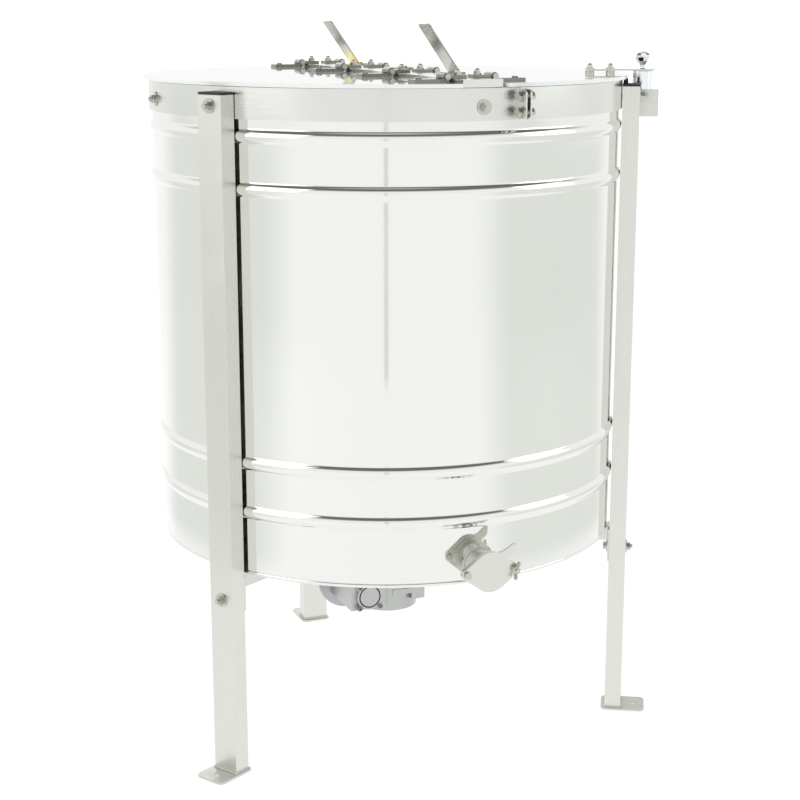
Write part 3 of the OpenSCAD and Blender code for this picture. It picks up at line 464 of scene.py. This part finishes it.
def box_line(half_x, y0, y1, z, step=0.0006):
    """A closed line round a rectangle at height z, with points a step apart."""
    corners = np.array([(-half_x, y0, z), (half_x, y0, z), (half_x, y1, z), (-half_x, y1, z)])
    ends = np.roll(corners, -1, 0)
    counts = (np.linalg.norm(ends - corners, axis=1) / step).astype(int)
    return np.concatenate([a + (b - a) * np.arange(n)[:, None] / n
                           for a, b, n in zip(corners, ends, counts)])


foot_line = box_line(leg_half, -leg_out, -leg_in, foot_top + 0.0004)
for name, angle in leg_angles.items():
    weld = corded(around_axis(foot_line, angle), (0, 0, 1), foot_weld_r, 8)
    piece(f"foot_weld_{name}", *weld, weld_steel, "frame", "satin_steel")

plastic = Finish("cap_plastic", Base_Color=(0.018, 0.018, 0.018, 1))
plastic.give({"Roughness": 0.42 + plastic.noise(60.0) * 0.15,
              "Normal": plastic.bump(plastic.noise(1800.0), 3e-5)})
dressed("leg_caps", plastic, 0.0012)
rubber = Finish("black_rubber", Base_Color=(0.022, 0.022, 0.022, 1))
rubber.give({"Roughness": 0.62 + rubber.noise(120.0) * 0.2,
             "Normal": rubber.bump(rubber.noise(1200.0), 5e-5)})
dressed("lid_rest", rubber, 0.001)
coat(rubber, "shaft_seal")

# ---- Underframe ----
# Three box arms welded to end plates that are bolted inside the legs, and a plate in the middle that
# carries the drum's bearing housing above and the gearbox below.

arm_steel = steel("arm_steel", (0.68, 0.68, 0.65), 0.30, 500.0, (1, 1, 1), 3e-5, 0.05)
dressed("underframe_arms", arm_steel, 0.0008)
dressed("arm_end_plates", arm_steel, 0.0006)
coat(arm_steel, "gearbox_plate")

# ---- Worm gearbox and motor ----
# A die-cast aluminium gear case with a screwed cover over the worm's end, and a finned motor behind it
# with a fan cover and a terminal box, all hung under the middle plate.


def casting(name, tint, rough, grain):
    """Cast metal: a skin of fine lumps, which grain is the rise of, duller and paler on the lumps."""
    finish = Finish(name, Metallic=1.0)
    skin = finish.noise(220.0, detail=6.0)
    light = tuple(min(c * 1.08, 1) for c in tint) + (1,)
    dark = tuple(c * 0.86 for c in tint) + (1,)
    finish.give({"Base Color": finish.mix(skin, dark, light), "Roughness": skin * 0.25 + rough,
                 "Normal": finish.bump(skin, grain)})
    return finish


cast_metal = casting("cast_aluminium", (0.52, 0.53, 0.52), 0.24, 5e-4)
for node in ("gearbox_housing", "gearbox_flange", "worm_cover"):
    dressed(node, cast_metal, 0.0008, 28)
coat(cast_metal, "bearing_housing", "top_bearing_housing")
socket_steel = steel("socket_screw_steel", (0.22, 0.22, 0.22), 0.3, 900.0, (1, 1, 1), 2e-5)
coat(socket_steel, "gearbox_screws")
seal_ring_at, seal_ring_r, seal_cord_r = (-0.058, -0.0626, 0.22), 0.01975, 0.0012
t = np.linspace(0, 2 * np.pi, 180, endpoint=False)
ring = np.stack([np.cos(t), 0 * t, np.sin(t)], -1) * seal_ring_r + seal_ring_at
ring_cord = corded(ring, (0, -1, 0), seal_cord_r, 12, ripple=0.0)
piece("cover_seal_ring", *ring_cord, rubber, "frame", "black_rubber")
enamel = Finish("motor_enamel", Metallic=0.25, Coat_Weight=0.25, Coat_Roughness=0.2)
peel = enamel.noise(420.0, detail=2.0)
enamel.give({"Base Color": enamel.mix(enamel.noise(12.0), (0.46, 0.48, 0.49, 1), (0.56, 0.575, 0.58, 1)),
             "Roughness": 0.34 + peel * 0.12, "Normal": enamel.bump(peel, 1.2e-4)})
for node, edge in (("motor_body", 0.0005), ("fan_cover", 0.0008), ("terminal_box", 0.0012)):
    dressed(node, enamel, edge)
coat(enamel, "motor_fan")
coat(plastic, "cable_gland")

# ---- Shaft, bearings and cage ----
# A ground shaft in two bearings carries a cage of bent rod: rings and uprights on flat spokes, with flat
# rests for the frames. The worm wheel at the shaft's foot is bronze.

ground_steel = steel("ground_steel", (0.70, 0.70, 0.69), 0.16, 800.0, (0.02, 0.02, 1), 1e-5)
coat(ground_steel, "cage_shaft", "worm_shaft", "bottom_bearing", "top_bearing", "switch_plunger")
cage_steel = steel("cage_rod_steel", (0.78, 0.78, 0.76), 0.18, 300.0, (1, 1, 1), 2e-5, 0.04)
coat(cage_steel, "cage_hubs", "lower_ring", "middle_ring", "upper_ring", "inner_rings", "cage_uprights")
for node in ("cage_spokes", "frame_rests"):
    dressed(node, cage_steel, 0.0005)
bronze = Finish("wheel_bronze", Metallic=1.0)
bronze.give({"Base Color": bronze.mix(bronze.noise(40.0), (0.66, 0.42, 0.18, 1), (0.76, 0.54, 0.28, 1)),
             "Roughness": 0.22 + bronze.noise(300.0) * 0.2,
             "Normal": bronze.bump(bronze.noise(900.0), 3e-5)})
coat(bronze, "worm_wheel")

# ---- Bridge ----
# A folded stainless channel across the rim, bolted down at its ends, which carries the top bearing and
# the hinges of both lid halves.

bridge_steel = steel("bridge_steel", (0.76, 0.76, 0.735), 0.22, 520.0, (1, 0.015, 1), 3e-5, 0.04)
dressed("bridge", bridge_steel, 0.0009)
hinge_steel = steel("hinge_steel", (0.27, 0.27, 0.235), 0.24, 600.0, (0.03, 1, 1), 3e-5, 0.08)
for node in ("bridge_leaves", "right_leaves", "left_leaves"):
    dressed(node, hinge_steel, 0.0006)
coat(bolt_steel, "hinge_pins", "bridge_bolts", "right_leaf_bolts", "left_leaf_bolts")

# ---- Lid stops ----
# Two flat bars that slope up from the bridge and catch the right half of the lid. The rear one shows the
# straw yellow of welding heat near its foot.

stop_foot_z, heat_starts, heat_ends = 1.172, 0.012, 0.044
stop_steel = steel("stop_steel", (0.50, 0.505, 0.46), 0.28, 560.0, (1, 1, 0.02), 3e-5, 0.05)
point = stop_steel.node("ShaderNodeTexCoord", out="Object")
ragged = stop_steel.part_of(point, "Z") + stop_steel.noise(40.0) * 0.012
low = stop_steel.ease(ragged, stop_foot_z + heat_starts, stop_foot_z + heat_ends, 1.0, 0.0)
rear = stop_steel.ease(stop_steel.part_of(point, "Y"), -0.01, 0.01)
bare = Value(stop_steel, stop_steel.shader.inputs["Base Color"].links[0].from_socket)
stop_steel.give({"Base Color": stop_steel.mix(low * rear, bare, (0.80, 0.66, 0.30, 1))})
dressed("lid_stops", stop_steel, 0.0006)

# ---- Lid halves ----
# Two half discs of clear acrylic sheet, glossy and almost opaque at a low angle, where their whitish base
# colour is painted reflection standing in for the glare off the sheet. Their sawn and polished edges look
# solid.

acrylic = Finish("clear_acrylic", IOR=1.49, Coat_Weight=0.5, Coat_Roughness=0.02)
facing = acrylic.node("ShaderNodeLayerWeight", {}, {"Blend": 0.5}, out="Facing")
smear = acrylic.ease(acrylic.noise(6.0, detail=5.0), 0.45, 0.75)
upright = acrylic.part_of(acrylic.node("ShaderNodeTexCoord", out="Normal"), "Z")
rim_face = acrylic.ease(upright * upright, 0.05, 0.6, 1.0, 0.0)
acrylic.give({"Base Color": acrylic.mix(smear, (0.90, 0.93, 0.925, 1), (0.94, 0.95, 0.95, 1)),
              "Roughness": 0.035 + smear * 0.05,
              # Painted reflection: the whitish base colour shows opaque at low angles and on the edges.
              "Alpha": acrylic.ease(facing ** 2 * 1.25 + 0.26 + rim_face, 0.0, 1.0)})
for node in ("lid_right", "lid_left"):
    dressed(node, acrylic, 0.0011)

# ---- Lid strap, knob and switch ----
# A strap bolted to the right half reaches over the drum's edge to press a plunger in a turned post, on a
# switch box fixed to the right leg. A chromed knob on the strap lifts the lid.

strap_steel = steel("strap_steel", (0.68, 0.68, 0.65), 0.28, 520.0, (1, 1, 1), 3e-5, 0.05)
dressed("lid_strap", strap_steel, 0.0005)
coat(bolt_steel, "strap_bolts")
chrome = Finish("knob_chrome", Metallic=1.0)
chrome.give({"Base Color": chrome.mix(chrome.noise(30.0), (0.84, 0.85, 0.86, 1), (0.90, 0.90, 0.90, 1)),
             "Roughness": 0.05 + chrome.noise(160.0) * 0.05,
             "Normal": chrome.bump(chrome.noise(60.0), 3e-5)})
low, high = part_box("lid_knob")
knob_foot = ((low.x + high.x) / 2, (low.y + high.y) / 2, low.z)
knob_high, knob_rows, knob_steps, knob_sides = 0.0335, 61, 96, 8
neck_top, knob_waist, crown_top = 0.26, 0.74, 0.995
knob_heights = [0, 0.06, 0.12, 0.2, 0.3, 0.5, 0.68, 0.78, 0.9, 0.97, 1]
knob_radii = [0.0085, 0.0085, 0.0055, 0.0048, 0.0056, 0.0100, 0.0132, 0.0134, 0.0098, 0.0052, 0.0002]


def cut_knob():
    """A knob that grows from a round neck to a wide waist and closes in a low crown. Between neck and
    crown its outline is an eight-sided polygon: the round radius times the cosine of half a side's angle,
    over the cosine of the angle from the middle of the side. Above the waist the sides turn by half a
    side."""
    h = np.linspace(0, 1, knob_rows)[:, None]
    a = np.linspace(0, 2 * np.pi, knob_steps, endpoint=False)[None, :]
    pitch = 2 * np.pi / knob_sides
    turn = np.where(h > knob_waist, pitch / 2, 0.0)
    side = (a + turn + pitch / 2) % pitch - pitch / 2
    cut = np.clip(np.minimum((h - neck_top) / 0.06, (crown_top - h) / 0.05), 0, 1)
    r = np.interp(h, knob_heights, knob_radii) * (1 - cut * (1 - np.cos(pitch / 2) / np.cos(side)))
    points = np.stack([r * np.cos(a), r * np.sin(a), np.broadcast_to(h * knob_high, r.shape)], -1)
    foot = list(range(knob_steps))[::-1]
    crown = list(range((knob_rows - 1) * knob_steps, knob_rows * knob_steps))
    faces = grid_faces(knob_rows, knob_steps, wrap_columns=True).tolist() + [foot, crown]
    return points + knob_foot, faces


knob = piece("lid_knob_cut", *cut_knob(), chrome, "right_lid", "chrome_plate", 12)
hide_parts("lid_knob")
post_steel = steel("switch_post_steel", (0.86, 0.90, 0.905), 0.17, 900.0, (0.01, 0.01, 1), 4e-5, 0.03)
dressed("switch_post", post_steel, 0.0005)
dressed("switch_box", arm_steel, 0.0015)
